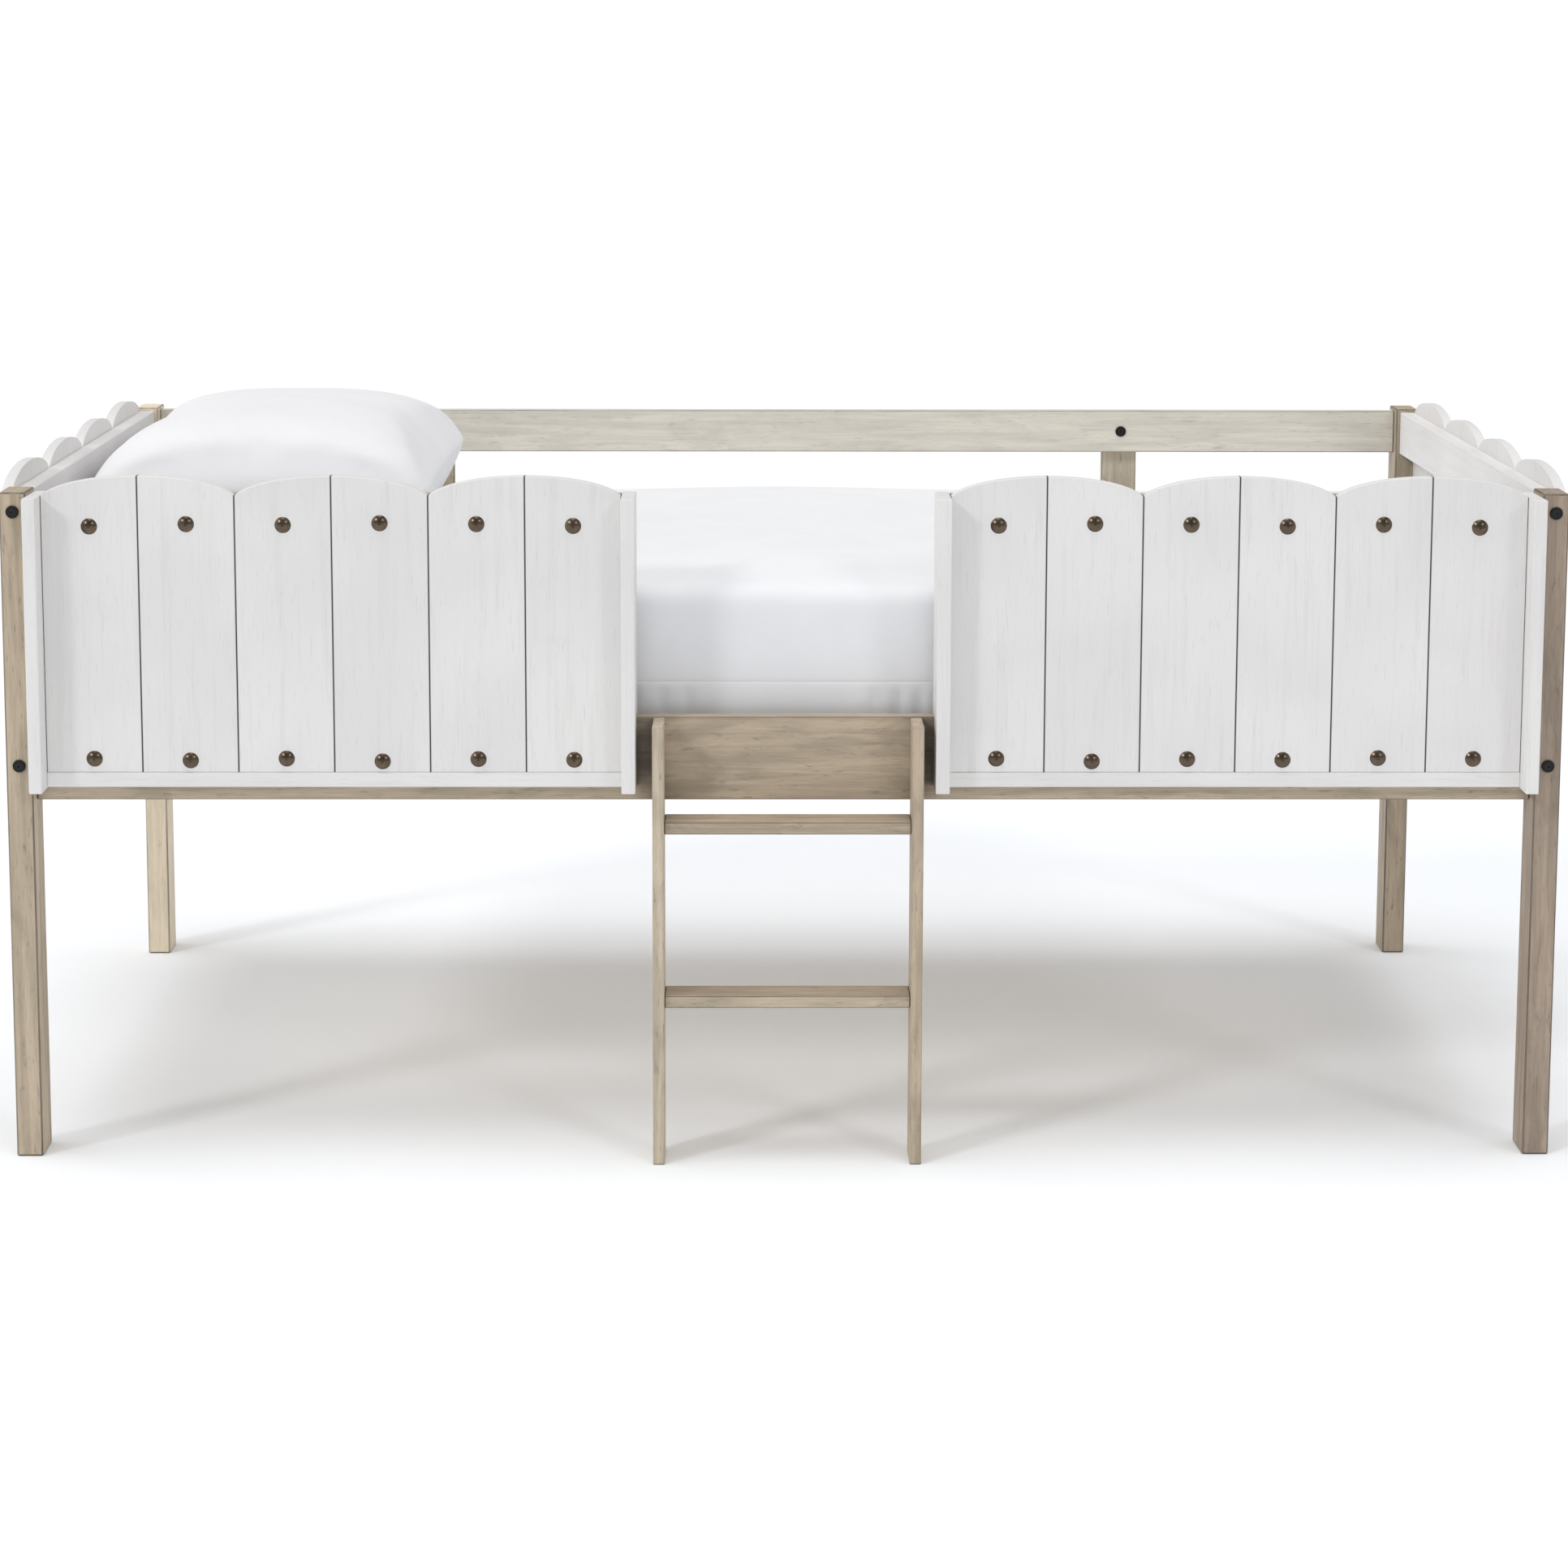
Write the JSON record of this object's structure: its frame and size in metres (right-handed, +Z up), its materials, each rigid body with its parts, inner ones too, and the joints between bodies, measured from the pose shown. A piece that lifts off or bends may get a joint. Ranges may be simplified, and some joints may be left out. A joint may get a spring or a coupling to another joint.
{
  "type": "low loft bed with ladder",
  "caption": "Low loft bed for one twin mattress: driftwood-stained frame, white scalloped plank guards at the front and both ends, entry gap with a short fixed ladder, mattress and pillow.",
  "frame": {"origin": "on the floor, under the centre of the bed's bounding box", "axes": "+X along the bed to the right as seen from the front, +Y from the front panels to the rear rail, +Z up"},
  "size_m": [2.0192, 1.0996, 0.9203],
  "materials": {
    "driftwood": "satin greige stain with dark worn edges",
    "white_paint": "satin white paint, brushed along the grain",
    "plain_pine": "bare planed softwood",
    "antique_bronze": "dark antique bronze domes",
    "black_steel": "black satin",
    "zinc_steel": "zinc plated",
    "webbing": "woven strap",
    "sheet_cotton": "white cotton fitted sheet",
    "pillow_cotton": "white cotton pillow case"
  },
  "bodies": {
    "frame": {"barrel_nuts": "zinc_steel", "dome_nails": "antique_bronze", "end_rail_lower_left": "driftwood", "end_rail_lower_right": "driftwood", "end_rail_upper_left": "white_paint", "end_rail_upper_right": "white_paint", "end_scallop_left_1": "white_paint", "end_scallop_left_2": "white_paint", "end_scallop_left_3": "white_paint", "end_scallop_left_4": "white_paint", "end_scallop_right_1": "white_paint", "end_scallop_right_2": "white_paint", "end_scallop_right_3": "white_paint", "end_scallop_right_4": "white_paint", "front_plank_left_1": "white_paint", "front_plank_left_2": "white_paint", "front_plank_left_3": "white_paint", "front_plank_left_4": "white_paint", "front_plank_left_5": "white_paint", "front_plank_left_6": "white_paint", "front_plank_right_1": "white_paint", "front_plank_right_2": "white_paint", "front_plank_right_3": "white_paint", "front_plank_right_4": "white_paint", "front_plank_right_5": "white_paint", "front_plank_right_6": "white_paint", "guard_rail_front_left": "driftwood", "guard_rail_front_right": "driftwood", "guard_rail_rear": "driftwood", "ladder_bolts": "black_steel", "ladder_leg_left": "driftwood", "ladder_leg_right": "driftwood", "ladder_rung_lower": "driftwood", "ladder_rung_upper": "driftwood", "ledge_left": "white_paint", "ledge_right": "white_paint", "post_bolts": "black_steel", "post_front_left": "driftwood", "post_front_right": "driftwood", "post_rear_left": "driftwood", "post_rear_right": "driftwood", "rail_bolts": "black_steel", "rear_upright_left": "driftwood", "rear_upright_right": "driftwood", "rung_screws": "zinc_steel", "side_rail_front": "driftwood", "side_rail_rear": "driftwood", "slat_ledger_front": "plain_pine", "slat_ledger_rear": "plain_pine", "slat_screws": "zinc_steel", "slat_webbing": "webbing", "slats": "plain_pine", "stile_entry_left": "white_paint", "stile_entry_right": "white_paint", "stile_outer_left": "white_paint", "stile_outer_right": "white_paint", "upright_bolts": "black_steel"},
    "mattress_body": {"mattress": "sheet_cotton"},
    "pillow_body": {"pillow": "pillow_cotton"}
  },
  "joints": [
    {"name": "mattress_lift", "type": "slide", "parent": "frame", "child": "mattress_body", "axis": [0, 0, 1], "range_m": [0, 0.4]},
    {"name": "pillow_lift", "type": "slide", "parent": "mattress_body", "child": "pillow_body", "axis": [0, 0, 1], "range_m": [0, 0.3]}
  ]
}
